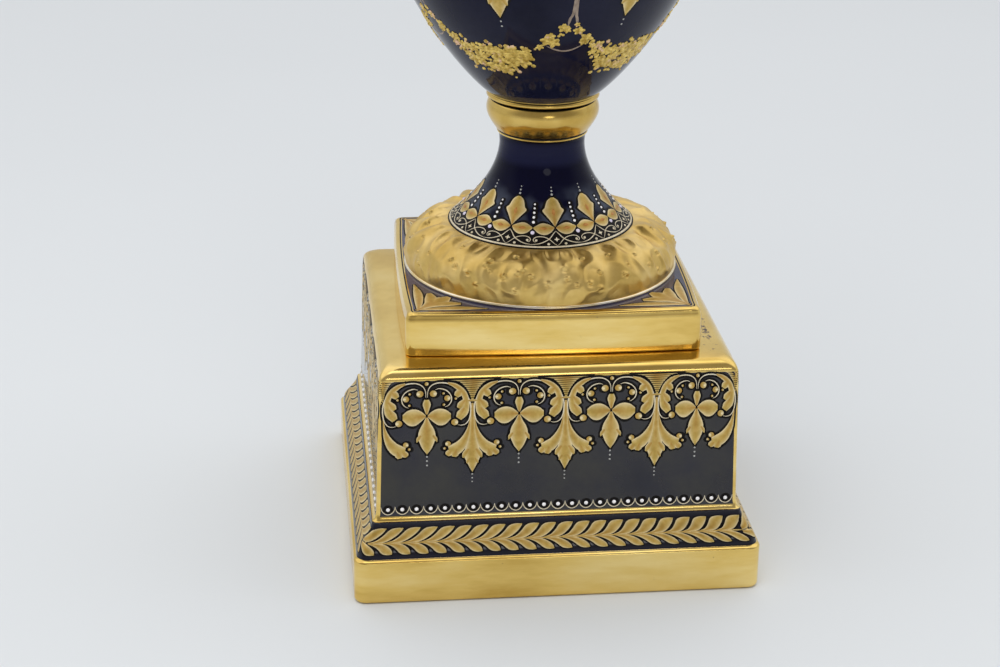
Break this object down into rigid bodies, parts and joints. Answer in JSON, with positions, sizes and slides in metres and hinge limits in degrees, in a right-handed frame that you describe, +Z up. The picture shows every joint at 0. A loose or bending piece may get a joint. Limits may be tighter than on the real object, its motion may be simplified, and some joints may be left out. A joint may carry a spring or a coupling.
{
  "type": "mantel urn",
  "caption": "Square-plinthed mantel urn in dark blue and gilt porcelain, with a leaf wreath on its flared foot and an open mouth.",
  "frame": {"origin": "centre of the plinth's square footprint, on the surface that it stands on", "axes": "+Z up along the urn's axis, -Y the front face, +X to the right of the front"},
  "size_m": [0.12, 0.12, 0.2876],
  "materials": {
    "plinth": "porcelain with a glossy dark cobalt glaze and burnished gilt edges and ornament",
    "foot": "porcelain, burnished gilt over the slab, wreath and collar, with a glossy cobalt stem",
    "urn_body": "porcelain with a glossy dark cobalt glaze outside, gilt ornament and a white-glazed inside"
  },
  "bodies": {
    "root": {"plinth": "plinth", "foot": "foot", "urn_body": "urn_body"}
  },
  "joints": []
}
